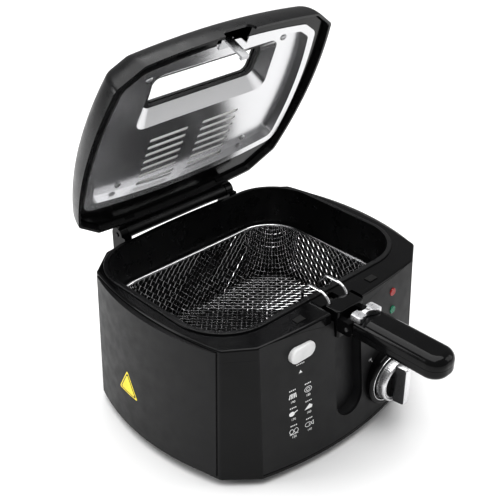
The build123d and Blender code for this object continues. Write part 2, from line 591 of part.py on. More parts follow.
SEAL_Z = RECESS_Z + LINER_T + 0.1
pane = window_plate(WINDOW_HALF + 6, WINDOW_FRONT - 5, WINDOW_BACK + 5, 10.0, PANE_Z, PANE_T)
finish(pane, "lid_window", lid=True)
seal_outer = window_plate(WINDOW_HALF + 8, WINDOW_FRONT - 7, WINDOW_BACK + 7, 12.0, SEAL_Z,
                          PANE_Z - 0.1 - SEAL_Z)
seal_hole = window_plate(WINDOW_HALF + 1, WINDOW_FRONT - 0.5, WINDOW_BACK + 0.5, 8.0, SEAL_Z - 1, 10.0)
finish(seal_outer - seal_hole, "window_frame", lid=True)

with BuildPart() as odour_filter:
    with BuildSketch(Plane.XY.offset(PAN_TOP + 0.2)):
        with Locations((0, 44.6)):
            RectangleRounded(126.0, 70.0, 6)
    extrude(amount=9.0)
finish(odour_filter.part, "odour_filter", lid=True)
with BuildPart() as lid_catch:
    add(block(-7.0, 7.0, -98.0, -86.0, LINER_Z - 1.3, LINER_Z - 0.1))
    add(block(-4.5, 4.5, -98.9, -96.6, 144.0, LINER_Z - 0.1))
    add(block(-4.5, 4.5, -96.6, -94.6, 144.0, 147.0))
finish(lid_catch.part, "lid_catch", lid=True)

# ---------------------------------------------------------------- basket and its bracket
MESH_TOP = RING_Z - WIRE_R
with BuildPart() as basket:
    for inset, low, mode in ((0.0, BASKET_BOTTOM, Mode.ADD),
                             (BASKET_T, BASKET_BOTTOM + BASKET_T, Mode.SUBTRACT)):
        size = (RING_W - 2.0 - 2 * inset, RING_D - 2.0 - 2 * inset)
        add(tapered(MESH_TOP, size, RING_Y, BASKET_R - inset, MESH_TOP - low, BASKET_TAPER), mode=mode)
finish(basket.part, "basket_mesh")
with BuildSketch(Plane.XY.offset(RING_Z + 0.6)) as ring_outline:
    with Locations((0, RING_Y)):
        RectangleRounded(RING_W, RING_D, BASKET_R)
finish(tube_along(ring_outline.sketch.face().outer_wire(), 2.0), "basket_rim_wire")
with BuildPart() as arcs:
    for x in (-ARC_X, ARC_X):
        with BuildLine(Plane.YZ.offset(x)) as arc_path:
            FilletPolyline((ARC_IN, 116.0), (ARC_IN, ARC_TOP), (ARC_OUT, ARC_TOP), (ARC_OUT, 148.0),
                           radius=13.0)
        add(tube_along(arc_path.wires()[0], WIRE_R))
finish(arcs.part, "bracket_wires")

FORK = 10.5
with BuildPart() as bracket:
    add(block(-BRACKET_HALF, BRACKET_HALF, -121.5, BRACKET_BACK, BRACKET_LOW, BRACKET_TOP))
    fillet(bracket.edges().filter_by(Axis.Z), 2.5)
    fillet(bracket.faces().sort_by(Axis.Z)[-1].edges(), 1.5)
    for side in (-1, 1):
        low_x, high_x = sorted((side * FORK, side * BRACKET_HALF))
        add(cyl_x(low_x, high_x, PIVOT_Y, PIVOT_Z, 7.0))
        add(block(low_x, high_x, PIVOT_Y, -120.0, PIVOT_Z - 7.0, PIVOT_Z + 7.0))
    add(cyl_x(-20, 20, PIVOT_Y, PIVOT_Z, HANDLE_PIN_R + 0.02), mode=Mode.SUBTRACT)
    for x in (-ARC_X, ARC_X):
        add(block(x - 1.55, x + 1.55, ARC_OUT - 1.55, BRACKET_BACK + 1, 147.5, 170.0), mode=Mode.SUBTRACT)
finish(bracket.part, "handle_bracket")
finish(cyl_x(-BRACKET_HALF - 0.8, BRACKET_HALF + 0.8, PIVOT_Y, PIVOT_Z, HANDLE_PIN_R), "handle_pin")

# ---------------------------------------------------------------- folding handle
with BuildPart() as grip:
    add(block(-HANDLE_HALF, HANDLE_HALF, HANDLE_TIP, HANDLE_ROOT, HANDLE_LOW, HANDLE_TOP))
    fillet(grip.edges().filter_by(Axis.Z).group_by(Axis.Y)[0], 15.0)
    fillet(grip.faces().sort_by(Axis.Z)[-1].edges().group_by(Axis.Y)[:-1], 9.0)
    fillet(grip.faces().sort_by(Axis.Z)[0].edges().group_by(Axis.Y)[:-1], 6.0)
    seat_front = SLIDER_FRONT - SLIDER_TRAVEL - 0.6
    add(block(-20, 20, seat_front, HANDLE_ROOT + 1, SLIDER_SEAT - 0.3, HANDLE_TOP + 1), mode=Mode.SUBTRACT)
with BuildPart() as upper:
    add(grip.part)
    add(block(-30, 30, HANDLE_TIP - 5, HANDLE_ROOT + 5, 100, SEAM_Z + SEAM_GAP), mode=Mode.SUBTRACT)
finish(upper.part, "handle_upper")
KNUCKLE_HALF, KNUCKLE_R = FORK - 0.4, 6.6
with BuildPart() as lower:
    add(grip.part)
    add(block(-30, 30, HANDLE_TIP - 5, HANDLE_ROOT + 5, SEAM_Z, 200), mode=Mode.SUBTRACT)
    add(cyl_x(-KNUCKLE_HALF, KNUCKLE_HALF, PIVOT_Y, PIVOT_Z, KNUCKLE_R))
    add(block(-KNUCKLE_HALF, KNUCKLE_HALF, HANDLE_ROOT - 4, PIVOT_Y, PIVOT_Z - KNUCKLE_R, SEAM_Z))
    add(cyl_x(-20, 20, PIVOT_Y, PIVOT_Z, HANDLE_PIN_R + 0.06), mode=Mode.SUBTRACT)
finish(lower.part, "handle_lower")

SLIDER_HALF, WAIST_HALF, WAIST_STEP, SLIDER_H = 15.0, 4.0, 3.0, 6.6
with BuildPart() as slider:
    with BuildSketch(Plane.XY.offset(SLIDER_SEAT)):
        waist_front, waist_back = SLIDER_FRONT + WAIST_STEP, SLIDER_BACK - WAIST_STEP
        Polygon((-SLIDER_HALF, SLIDER_BACK), (-SLIDER_HALF, SLIDER_FRONT), (-WAIST_HALF, waist_front),
                (WAIST_HALF, waist_front), (SLIDER_HALF, SLIDER_FRONT), (SLIDER_HALF, SLIDER_BACK),
                (WAIST_HALF, waist_back), (-WAIST_HALF, waist_back), align=None)
    extrude(amount=SLIDER_H)
    fillet(slider.edges().filter_by(Axis.Z), 1.2)
    chamfer(slider.faces().sort_by(Axis.Z)[-1].edges(), 0.8)
finish(slider.part, "handle_slider")

whole = Compound(children=written).bounding_box()
print("whole", whole.min, whole.max, "centre Y", round(whole.center().Y, 3))
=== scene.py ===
"""Looks of a cool-wall deep fryer: materials, woven basket, hinge springs, knob, handle slider, lid screws,
printed marks, label, lights and camera."""
import json
import math

import bmesh
import bpy
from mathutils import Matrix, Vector
from mathutils.bvhtree import BVHTree


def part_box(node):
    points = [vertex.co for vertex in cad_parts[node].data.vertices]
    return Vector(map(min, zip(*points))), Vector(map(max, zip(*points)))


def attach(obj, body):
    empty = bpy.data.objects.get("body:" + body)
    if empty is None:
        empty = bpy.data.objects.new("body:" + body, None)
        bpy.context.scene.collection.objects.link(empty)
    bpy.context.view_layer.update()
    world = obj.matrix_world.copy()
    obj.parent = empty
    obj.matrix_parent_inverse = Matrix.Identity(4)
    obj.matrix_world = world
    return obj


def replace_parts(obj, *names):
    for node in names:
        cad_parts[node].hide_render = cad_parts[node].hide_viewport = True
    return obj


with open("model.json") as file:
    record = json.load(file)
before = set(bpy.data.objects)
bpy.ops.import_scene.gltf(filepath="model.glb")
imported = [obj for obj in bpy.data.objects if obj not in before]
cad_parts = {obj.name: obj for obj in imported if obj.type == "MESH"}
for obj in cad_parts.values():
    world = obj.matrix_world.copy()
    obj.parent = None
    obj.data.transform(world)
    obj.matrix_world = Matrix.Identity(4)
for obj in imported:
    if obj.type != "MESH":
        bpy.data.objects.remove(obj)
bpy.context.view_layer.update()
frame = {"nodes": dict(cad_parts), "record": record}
nodes = frame["nodes"]
MM = 0.001
FEET_BEHIND_MIDDLE = 3.0 * MM
BODY_Y = (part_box("feet")[0].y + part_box("feet")[1].y) / 2 - FEET_BEHIND_MIDDLE


def at(x, y, z):
    """Point given in millimetres from the middle of the body, in metres in the object's frame."""
    return Vector((x * MM, y * MM + BODY_Y, z * MM))


# ---------------------------------------------------------------- materials
NOISE_LOW, NOISE_HIGH = 0.3, 0.7
TONE_GAIN, TONE_LIFT = 1.25, 0.002
GLOSS_FINER = 2.3
MOULDED_BUMP, METAL_BUMP, CLEAR_BUMP = 0.35, 0.4, 0.05
CLEAR_WAVES, CLEAR_DEPTH, CLEAR_IOR = 60.0, 0.00002, 1.46


def new_material(name, color, rough, metal=0.0, gloss=0.5):
    """Principled material with its plain numbers set on the shader's own sockets."""
    material = bpy.data.materials.new(name)
    material.use_nodes = True
    shader = material.node_tree.nodes["Principled BSDF"]
    shader.inputs["Base Color"].default_value = (*color, 1.0)
    shader.inputs["Roughness"].default_value = rough
    shader.inputs["Metallic"].default_value = metal
    shader.inputs["Specular IOR Level"].default_value = gloss
    return material, shader


def add_node(material, kind, **values):
    """New shader node with the named inputs or properties set."""
    node = material.node_tree.nodes.new(kind)
    for key, value in values.items():
        if key in node.inputs:
            node.inputs[key].default_value = value
        else:
            setattr(node, key, value)
    return node


def object_coords(material, scale=(1.0, 1.0, 1.0)):
    """Object coordinates, stretched by scale."""
    coords = add_node(material, "ShaderNodeTexCoord")
    mapping = add_node(material, "ShaderNodeMapping", Scale=scale)
    material.node_tree.links.new(coords.outputs["Object"], mapping.inputs["Vector"])
    return mapping.outputs["Vector"]


def noise(material, scale, detail=3.0, stretch=(1.0, 1.0, 1.0)):
    """Noise in object space."""
    texture = add_node(material, "ShaderNodeTexNoise", Scale=scale, Detail=detail)
    material.node_tree.links.new(object_coords(material, stretch), texture.inputs["Vector"])
    return texture.outputs["Fac"]


def remap(material, value, low, high):
    """Noise value spread over the range low to high."""
    node = add_node(material, "ShaderNodeMapRange")
    node.inputs["From Min"].default_value = NOISE_LOW
    node.inputs["From Max"].default_value = NOISE_HIGH
    node.inputs["To Min"].default_value = low
    node.inputs["To Max"].default_value = high
    material.node_tree.links.new(value, node.inputs["Value"])
    return node.outputs["Result"]


def mix_colors(material, value, first, second):
    """Colour between two colours, chosen by value."""
    ramp = add_node(material, "ShaderNodeValToRGB")
    for element, position, color in zip(ramp.color_ramp.elements, (NOISE_LOW, NOISE_HIGH), (first, second)):
        element.position, element.color = position, (*color, 1.0)
    material.node_tree.links.new(value, ramp.inputs["Fac"])
    return ramp.outputs["Color"]


def bump(material, shader, value, strength, depth):
    """Bump of the given depth in metres."""
    node = add_node(material, "ShaderNodeBump", Strength=strength, Distance=depth)
    material.node_tree.links.new(value, node.inputs["Height"])
    material.node_tree.links.new(node.outputs["Normal"], shader.inputs["Normal"])


def moulded(name, color, rough, grain, depth, spread=0.06, smear=35.0, gloss=0.5):
    """Moulded plastic: fine grain in the surface and slow changes of gloss and tone."""
    material, shader = new_material(name, color, rough, gloss=gloss)
    links = material.node_tree.links
    lighter = tuple(min(1.0, c * TONE_GAIN + TONE_LIFT) for c in color)
    links.new(mix_colors(material, noise(material, smear, 5.0), color, lighter), shader.inputs["Base Color"])
    links.new(remap(material, noise(material, smear * GLOSS_FINER, 6.0), rough - spread, rough + spread),
              shader.inputs["Roughness"])
    bump(material, shader, noise(material, grain, 2.0), MOULDED_BUMP, depth)
    return material


def metal(name, color, rough, stretch=(1.0, 1.0, 1.0), scale=120.0, spread=0.08, depth=0.00002, tint=0.86):
    """Metal with a brushed or satin finish."""
    material, shader = new_material(name, color, rough, 1.0)
    links = material.node_tree.links
    grain = noise(material, scale, 6.0, stretch)
    darker = tuple(c * tint for c in color)
    links.new(mix_colors(material, grain, darker, color), shader.inputs["Base Color"])
    links.new(remap(material, grain, rough - spread, rough + spread), shader.inputs["Roughness"])
    bump(material, shader, grain, METAL_BUMP, depth)
    return material


def clear(name, color, rough, transmission):
    """Glass or a tinted lens."""
    material, shader = new_material(name, color, rough)
    shader.inputs["Transmission Weight"].default_value = transmission
    shader.inputs["IOR"].default_value = CLEAR_IOR
    bump(material, shader, noise(material, CLEAR_WAVES, 2.0), CLEAR_BUMP, CLEAR_DEPTH)
    return material


GLOSS_BLACK = moulded("gloss_black_plastic", (0.003, 0.003, 0.0033), 0.13, 2600.0, 0.000004, 0.03, gloss=0.2)
SATIN_BLACK = moulded("satin_black_lid", (0.005, 0.005, 0.0055), 0.3, 2200.0, 0.00001, gloss=0.3)
MATTE_BLACK = moulded("matte_black_panel", (0.0075, 0.0075, 0.008), 0.44, 1800.0, 0.00004, gloss=0.25)
RECESS_GREY = moulded("matte_grey_recess", (0.018, 0.018, 0.019), 0.5, 1800.0, 0.00005, gloss=0.3)
DARK_MOULDING = moulded("dark_moulding", (0.02, 0.02, 0.02), 0.5, 900.0, 0.00006, gloss=0.3)
RUBBER = moulded("black_rubber", (0.01, 0.01, 0.01), 0.75, 700.0, 0.00008, gloss=0.2)
POT = moulded("pot_coating", (0.004, 0.004, 0.0045), 0.3, 3000.0, 0.00001, 0.08, gloss=0.3)
LIGHT_GREY = moulded("light_grey_button", (0.7, 0.7, 0.7), 0.38, 1500.0, 0.00002, 0.05)
INK = moulded("white_print", (0.8, 0.8, 0.8), 0.55, 900.0, 0.00001, 0.05)
YELLOW = moulded("yellow_label", (0.86, 0.66, 0.02), 0.4, 900.0, 0.00001, 0.05)
LABEL_EDGE = moulded("label_border", (0.02, 0.018, 0.01), 0.45, 900.0, 0.00001, 0.05)
# Odour filter felt is a real part, but its near-white colour is also a painted highlight: it makes the lid
# liner's louvre slots show bright instead of highlights on the louvre hoods.
FELT_WITH_PAINTED_SLOT_HIGHLIGHT = moulded("filter_felt_painted_slot_highlight", (0.93, 0.93, 0.91), 0.92, 420.0, 0.0003, 0.04, 90.0)
LINER = metal("satin_liner", (0.66, 0.66, 0.67), 0.24, (9.0, 90.0, 90.0), 30.0, 0.02, 0.0000008, 0.96)
ALUMINIUM = metal("mill_aluminium", (0.72, 0.72, 0.74), 0.38)
STEEL = metal("satin_steel", (0.56, 0.56, 0.57), 0.3)
DARK_STEEL = metal("blackened_steel", (0.035, 0.035, 0.037), 0.36)
COPPER = metal("copper_tube", (0.72, 0.38, 0.24), 0.3)
CHROME = metal("chromed_wire", (0.84, 0.84, 0.85), 0.14, scale=300.0, spread=0.05)
SILVER = metal("silver_lacquer", (0.8, 0.8, 0.81), 0.3, scale=700.0, spread=0.05, depth=0.00001)
DISH = metal("dark_turned_dish", (0.07, 0.07, 0.072), 0.3, scale=700.0, spread=0.05, depth=0.00001)
GLASS = clear("window_glass", (0.99, 1.0, 1.0), 0.01, 1.0)
RED_LENS = clear("red_lens", (0.42, 0.03, 0.03), 0.12, 0.25)
GREEN_LENS = clear("green_lens", (0.0, 0.2, 0.1), 0.12, 0.25)

FINISHES = {
    GLOSS_BLACK: ["housing", "rim_collar", "knob_surround", "hinge_brackets", "handle_bracket",
                  "handle_upper", "handle_lower", "lid_inner_frame"],
    SATIN_BLACK: ["lid_shell"],
    MATTE_BLACK: ["side_panel_left", "side_panel_right", "front_panel", "base_plate"],
    RECESS_GREY: ["handle_recess", "window_frame"],
    DARK_MOULDING: ["lamp_holder", "thermostat_body", "thermal_cutout", "terminal_block", "latch_lever"],
    RUBBER: ["feet", "cord_gland", "lid_rest_pads"],
    LIGHT_GREY: ["release_button"],
    FELT_WITH_PAINTED_SLOT_HIGHLIGHT: ["odour_filter"],
    LINER: ["lid_liner"],
    ALUMINIUM: ["heat_shield"],
    STEEL: ["heating_element", "base_screws", "lid_screws", "lid_catch", "handle_pin", "thermostat_shaft"],
    DARK_STEEL: ["hinge_pins", "hinge_springs"],
    COPPER: ["thermostat_bulb"],
    CHROME: ["basket_mesh", "basket_rim_wire", "bracket_wires"],
    SILVER: ["handle_slider", "thermostat_knob"],
    POT: ["oil_pot"],
    GLASS: ["lid_window"],
    RED_LENS: ["red_lamp_lens"],
    GREEN_LENS: ["green_lamp_lens"],
}
for finish, names in FINISHES.items():
    for name in names:
        mesh = nodes[name].data
        mesh.materials.clear()
        mesh.materials.append(finish)


# ---------------------------------------------------------------- mesh helpers
CREASE = math.radians(40.0)


def piece(name, mesh_data, materials, body):
    """Object from bmesh data that rides on a body, smooth but for its creases."""
    bmesh.ops.recalc_face_normals(mesh_data, faces=mesh_data.faces)
    mesh = bpy.data.meshes.new(name)
    mesh_data.to_mesh(mesh)
    mesh_data.free()
    obj = bpy.data.objects.new(name, mesh)
    bpy.context.scene.collection.objects.link(obj)
    for material in materials:
        mesh.materials.append(material)
    for polygon in mesh.polygons:
        polygon.use_smooth = True
    mesh.set_sharp_from_angle(angle=CREASE)
    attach(obj, body)
    return obj


def add_skin(data, rings):
    """Skin a stack of equal rings of points, closed round each ring, and cap both ends."""
    made = [[data.verts.new(point) for point in ring] for ring in rings]
    faces = [data.faces.new(made[0][::-1]), data.faces.new(made[-1])]
    for first, second in zip(made, made[1:]):
        for k in range(len(first)):
            j = (k + 1) % len(first)
            faces.append(data.faces.new((first[k], first[j], second[j], second[k])))
    return faces


def rounded_loop(half_w, half_h, radius, steps=5):
    """Points of a rounded rectangle about the origin, anticlockwise."""
    points = []
    for quarter, (side, up) in enumerate(((1, 1), (-1, 1), (-1, -1), (1, -1))):
        for k in range(steps + 1):
            angle = math.radians(90 * quarter + 90 * k / steps)
            points.append((side * (half_w - radius) + radius * math.cos(angle),
                           up * (half_h - radius) + radius * math.sin(angle)))
    return points


def add_tube(data, points, radius, sides=6, closed=False):
    """Sweep a round section along points, carrying its frame from one to the next."""
    count = len(points)
    rings = []
    normal = None
    for i, point in enumerate(points):
        before = points[(i - 1) % count] if closed or i > 0 else point
        after = points[(i + 1) % count] if closed or i < count - 1 else point
        tangent = (after - before).normalized()
        if normal is None:
            normal = tangent.orthogonal().normalized()
        normal = (normal - tangent * normal.dot(tangent)).normalized()
        side = tangent.cross(normal)
        ring = []
        for k in range(sides):
            angle = 2 * math.pi * k / sides
            ring.append(data.verts.new(point + (normal * math.cos(angle) + side * math.sin(angle)) * radius))
        rings.append(ring)
    pairs = list(zip(rings, rings[1:]))
    if closed:
        pairs.append((rings[-1], rings[0]))
    for first, second in pairs:
        for k in range(sides):
            data.faces.new((first[k], first[(k + 1) % sides], second[(k + 1) % sides], second[k]))
    if not closed:
        data.faces.new(rings[0][::-1])
        data.faces.new(rings[-1])


def surface(node):
    """Search tree of a CAD node's surface."""
    data = bmesh.new()
    data.from_mesh(nodes[node].data)
    tree = BVHTree.FromBMesh(data)
    data.free()
    return tree


# ---------------------------------------------------------------- woven basket
BASKET_WIRE, BASKET_PITCH = 0.45 * MM, 5.4 * MM
BASKET_CORNER, BASKET_DRAFT = 38.0 * MM, math.radians(5.0)
NET_OVER_FLOOR, NET_INTO_RIM = 1.0 * MM, 2.0 * MM
CRIMP, WALL_NORMAL_RISE = 0.5 * MM, 0.2
WIRE_SIDES, STEPS_PER_PITCH = 5, 3


def basket_point(u, v, centre, half, low):
    """Fold the flat net into the tub: inside the floor's outline it lies flat, outside it climbs the wall.

    Returns the place, the direction that the weave swings in, and the height over the floor."""
    qx, qy = abs(u) - (half.x - BASKET_CORNER), abs(v) - (half.y - BASKET_CORNER)
    outside = Vector((max(qx, 0.0), max(qy, 0.0)))
    distance = outside.length + min(max(qx, qy), 0.0) - BASKET_CORNER
    if distance <= 0.0:
        return Vector((centre.x + u, centre.y + v, low)), Vector((0, 0, 1)), 0.0
    if outside.length > 0.0:
        toward = outside.normalized()
    else:
        toward = Vector((1, 0)) if qx > qy else Vector((0, 1))
    toward = Vector((math.copysign(toward.x, u), math.copysign(toward.y, v)))
    lean = distance * math.sin(BASKET_DRAFT)
    foot = Vector((u, v)) - toward * distance
    place = foot + toward * lean
    rise = distance * math.cos(BASKET_DRAFT)
    inward = Vector((-toward.x, -toward.y, WALL_NORMAL_RISE))
    return Vector((centre.x + place.x, centre.y + place.y, low + rise)), inward, rise


def basket_net():
    """Two crossing sets of wires at 45 degrees, woven over and under each other."""
    low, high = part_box("basket_mesh")
    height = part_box("basket_rim_wire")[0].z + NET_INTO_RIM - low.z
    shrink = height * math.tan(BASKET_DRAFT)
    centre = (low + high) / 2
    half = Vector(((high.x - low.x) / 2 - shrink, (high.y - low.y) / 2 - shrink))
    reach = half.x + half.y + 2 * height
    step = BASKET_PITCH / STEPS_PER_PITCH
    data = bmesh.new()
    count = int(reach / BASKET_PITCH)
    for family in (0, 1):
        for line in range(-count, count + 1):
            offset = (line + 0.5) * BASKET_PITCH
            run = []
            for k in range(int(2 * reach / step)):
                along = -reach + k * step
                if family == 0:
                    u, v = (along + offset) * math.sqrt(0.5), (along - offset) * math.sqrt(0.5)
                else:
                    u, v = (along - offset) * math.sqrt(0.5), (-along - offset) * math.sqrt(0.5)
                point, normal, rise = basket_point(u, v, centre, half, low.z + NET_OVER_FLOOR)
                if rise > height:
                    if len(run) > 2:
                        add_tube(data, run, BASKET_WIRE, WIRE_SIDES)
                    run = []
                    continue
                wave = math.cos(math.pi * (along / BASKET_PITCH - 0.5)) * (1 if (line + family) % 2 else -1)
                run.append(point + normal.normalized() * wave * CRIMP)
            if len(run) > 2:
                add_tube(data, run, BASKET_WIRE, WIRE_SIDES)
    net = piece("basket_woven_net", data, [CHROME], "basket")
    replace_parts(net, "basket_mesh")


basket_net()


# ---------------------------------------------------------------- hinge springs
COIL_RADIUS, COIL_WIRE, COIL_LENGTH = 4.6 * MM, 0.75 * MM, 10.4 * MM
COIL_TURNS, STEPS_PER_TURN = 6, 14


def hinge_springs():
    """Closely wound torsion springs around the hinge pins."""
    low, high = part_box("hinge_springs")
    axis_y, axis_z = (low.y + high.y) / 2, (low.z + high.z) / 2
    inner, outer = high.x - COIL_LENGTH, high.x
    steps = COIL_TURNS * STEPS_PER_TURN
    data = bmesh.new()
    for side in (-1, 1):
        points = []
        for k in range(steps + 1):
            share = k / steps
            angle = 2 * math.pi * COIL_TURNS * share
            x = side * (inner + COIL_WIRE + (outer - inner - 2 * COIL_WIRE) * share)
            points.append(Vector((x, axis_y + COIL_RADIUS * math.cos(angle),
                                  axis_z + COIL_RADIUS * math.sin(angle))))
        add_tube(data, points, COIL_WIRE, 8)
    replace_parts(piece("hinge_coils", data, [DARK_STEEL], "root"), "hinge_springs")


hinge_springs()


# ---------------------------------------------------------------- thermostat knob
KNOB_PROFILE = ((3.2, 0.0), (21.4, 0.0), (22.3, 0.8), (22.3, 7.4), (21.9, 8.4), (21.7, 9.9), (21.0, 10.7),
                (20.0, 11.0), (19.2, 10.7), (18.7, 10.1), (18.2, 10.5), (17.5, 10.5), (16.9, 10.0))
DISH_PROFILE = ((16.2, 9.0), (14.0, 8.2), (10.0, 7.5), (5.0, 7.1), (0.8, 7.0))
DISH_RADIUS, DISH_DEPTH = 16.9 * MM, 6.0 * MM
GRIP_SECTIONS = ((6.4, 6.4, 19.4), (9.6, 6.1, 21.6), (12.0, 5.5, 22.0), (21.0, 4.4, 21.8), (22.4, 3.9, 21.2),
                 (23.0, 2.9, 20.2))
GRIP_CORNER, CHEEK_FACING = 2.2, 0.8
KNURL_COUNT, KNURL_DEPTH, KNURL_FROM, KNURL_TO, KNURL_RADIUS = 60, 0.28, 0.5, 8.0, 22.0
KNOB_SIDES = 240
BEZEL_RADIUS, BEZEL_WIRE, BEZEL_PROUD, BEZEL_STEPS = 25.2 * MM, 0.42 * MM, 0.1 * MM, 96


def knob_rings(centre):
    """Rings about the Y axis at each radius and depth of the profiles, with flutes in the side of the rim."""
    rings = []
    for radius, depth in KNOB_PROFILE + DISH_PROFILE:
        ring = []
        for k in range(KNOB_SIDES):
            angle = 2 * math.pi * k / KNOB_SIDES
            fluted = KNURL_FROM < depth < KNURL_TO and radius > KNURL_RADIUS
            r = radius - (KNURL_DEPTH * (1 + math.cos(KNURL_COUNT * angle)) / 2 if fluted else 0.0)
            ring.append(centre + Vector((r * math.cos(angle), -depth, r * math.sin(angle))) * MM)
        rings.append(ring)
    return rings


def thermostat_knob():
    """Silver knob with a fluted side and a double rim, a dark turned dish, a deep grip and a bezel ring."""
    low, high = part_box("thermostat_knob")
    centre = Vector(((low.x + high.x) / 2, high.y, (low.z + high.z) / 2))
    data = bmesh.new()
    add_skin(data, knob_rings(centre))
    for face in data.faces:
        middle = face.calc_center_median() - centre
        if math.hypot(middle.x, middle.z) < DISH_RADIUS and middle.y < -DISH_DEPTH:
            face.material_index = 1
    rings = []
    for depth, half_w, half_h in GRIP_SECTIONS:
        ring = rounded_loop(half_w, half_h, min(half_w * 0.55, GRIP_CORNER))
        rings.append([centre + Vector((x, -depth, z)) * MM for x, z in ring])
    for face in add_skin(data, rings):
        face.normal_update()
        if abs(face.normal.x) > CHEEK_FACING:
            face.material_index = 1
    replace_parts(piece("knob_turned", data, [SILVER, DISH], "knob"), "thermostat_knob")
    trim = bmesh.new()
    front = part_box("knob_surround")[0].y - BEZEL_PROUD
    points = []
    for k in range(BEZEL_STEPS):
        angle = 2 * math.pi * k / BEZEL_STEPS
        points.append(Vector((centre.x + BEZEL_RADIUS * math.cos(angle), front,
                              centre.z + BEZEL_RADIUS * math.sin(angle))))
    add_tube(trim, points, BEZEL_WIRE, 8, closed=True)
    piece("knob_bezel_trim", trim, [CHROME], "root")


thermostat_knob()


# ---------------------------------------------------------------- basket handle slider
# Wing outline: millimetres from the middle, and share of the CAD box's half depth. Levels: height in
# millimetres, and scale. Waist sections: place across, half depth and top, in millimetres.
WING_OUTLINE = ((3.4, -0.5), (5.5, -0.6), (12.5, -1.0), (15.0, -0.86),
                (15.0, 0.86), (12.5, 1.0), (5.5, 0.6), (3.4, 0.5))
WING_LEVELS = ((0.0, 0.97), (0.4, 1.0), (4.6, 1.0), (5.3, 0.985), (5.6, 0.95))
WING_REACH, WING_MIDDLE = 15.0, 9.2
RIB_COUNT, RIB_PITCH, RIB_REACH, RIB_MIDDLE = 7, 1.75, 4.4, 9.6
RIB_LEVELS = ((5.4, 1.0), (6.2, 0.8), (6.5, 0.45))
WAIST_SECTIONS = ((-5.0, 3.4, 5.0), (-3.0, 2.6, 6.3), (0.0, 2.2, 6.5), (3.0, 2.6, 6.3), (5.0, 3.4, 5.0))


def handle_slider():
    """Bow-tie thumb slider: two wings with grip ribs, joined by a raised waist."""
    low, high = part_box("handle_slider")
    centre = (low + high) / 2
    half, depth, bottom = (high.x - low.x) / 2, (high.y - low.y) / 2, low.z
    data = bmesh.new()
    for side in (-1, 1):
        middle = side * WING_MIDDLE
        rings = []
        for z, keep in WING_LEVELS:
            rings.append([Vector((centre.x + middle * MM + (side * x - middle) * keep * half / WING_REACH,
                                  centre.y + y * depth * keep, bottom + z * MM)) for x, y in WING_OUTLINE])
        add_skin(data, rings)
        for rib in range(RIB_COUNT):
            from_middle = rib - RIB_COUNT // 2
            y = centre.y + from_middle * RIB_PITCH * MM
            reach = RIB_REACH - 0.25 * abs(from_middle)
            rings = []
            for z, grow in RIB_LEVELS:
                loop = rounded_loop(reach * (0.9 + 0.1 * grow), 0.5 * grow, 0.2 * grow, 3)
                rings.append([Vector((centre.x + side * RIB_MIDDLE * MM + u * MM, y + v * MM,
                                      bottom + z * MM)) for u, v in loop])
            add_skin(data, rings)
    waist = []
    for x, half_y, top in WAIST_SECTIONS:
        loop = rounded_loop(half_y, top / 2, 0.9, 4)
        waist.append([Vector((centre.x + x * MM, centre.y + u * MM, bottom + (top / 2 + v) * MM))
                      for u, v in loop])
    add_skin(data, waist)
    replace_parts(piece("slider_bow_tie", data, [SILVER], "slider"), "handle_slider")


handle_slider()


# ---------------------------------------------------------------- lid screws
HINGE = (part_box("hinge_pins")[0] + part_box("hinge_pins")[1]) / 2
LID_JOINT = next(j for j in frame["record"]["behaviour"]["joints"] if j["name"] == "lid_hinge")
LID_OPEN = math.radians(LID_JOINT["range_deg"][1])
SCREW_X, SCREW_Y, SCREW_SEAT = (-83.7, 83.7), (-74.7, 65.2), 171.3
SCREW_RADIUS, SCREW_CROWN = 3.6, 1.7
CROSS_ARM, CROSS_HALF_WIDTH, CROSS_DEPTH = 2.1, 0.5, 0.9
SCREW_RINGS, SCREW_SIDES = 15, 48


def lid_point(x, y, z):
    """Point of the closed lid, in millimetres from the middle of the body, where the open lid has it."""
    away = at(x, y, z) - HINGE
    return HINGE + Vector((away.x, away.y * math.cos(LID_OPEN) + away.z * math.sin(LID_OPEN),
                           away.z * math.cos(LID_OPEN) - away.y * math.sin(LID_OPEN)))


def lid_screws():
    """Pan heads with a cross recess, one in each corner of the liner."""
    data = bmesh.new()
    for x in SCREW_X:
        for y in SCREW_Y:
            rings = []
            for k in range(SCREW_RINGS):
                r = SCREW_RADIUS * (1.0 - k / (SCREW_RINGS - 0.5))
                ring = []
                for j in range(SCREW_SIDES):
                    angle = 2 * math.pi * (j + 0.5) / SCREW_SIDES
                    u, v = r * math.cos(angle), r * math.sin(angle)
                    near, far = sorted((abs(u), abs(v)))
                    height = SCREW_CROWN * math.sqrt(max(1.0 - (r / SCREW_RADIUS) ** 2.6, 0.0))
                    if near < CROSS_HALF_WIDTH and far < CROSS_ARM:
                        height -= CROSS_DEPTH
                    ring.append(lid_point(x + u, y + v, SCREW_SEAT - height))
                rings.append(ring)
            add_skin(data, rings)
    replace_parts(piece("lid_screw_heads", data, [STEEL], "lid"), "lid_screws")


lid_screws()


# ---------------------------------------------------------------- printed marks and label
# All of it is drawn flat, in millimetres across and up, and then laid on the part.
FILM_CUT, FILM_THICKNESS, FILM_SUNK, RAY_START = 2.5, 0.1, 0.03, -400.0
ICON_COLUMNS = ((-71.5, 0, ("fries", "drumstick", "balls")), (-53.5, 10, ("ring", "wedge", "fish")))
ICON_ROWS = ((88.5, 190), (69.0, 170), (49.0, 150))
DIAL_X, DIAL_Z = 55.0, 50.0
TICK_FROM, TICK_TO, NUMBER_ACROSS, NUMBER_UP = 31.5, 33.5, 37.5, 36.5
LABEL_MIDDLE = (26.5, 61.0)
LABEL_LAYERS = (("side_label_base", 18.5, YELLOW, 0.0),
                ("side_label_line", 15.8, LABEL_EDGE, 0.1),
                ("side_label_field", 13.6, YELLOW, 0.2))
LABEL_CORNER, LABEL_CORNER_IN = 1.5, 3.0


def flat_polygon(data, points):
    """Flat face from (across, up) points in millimetres."""
    data.faces.new([data.verts.new((u, 0.0, v)) for u, v in points])


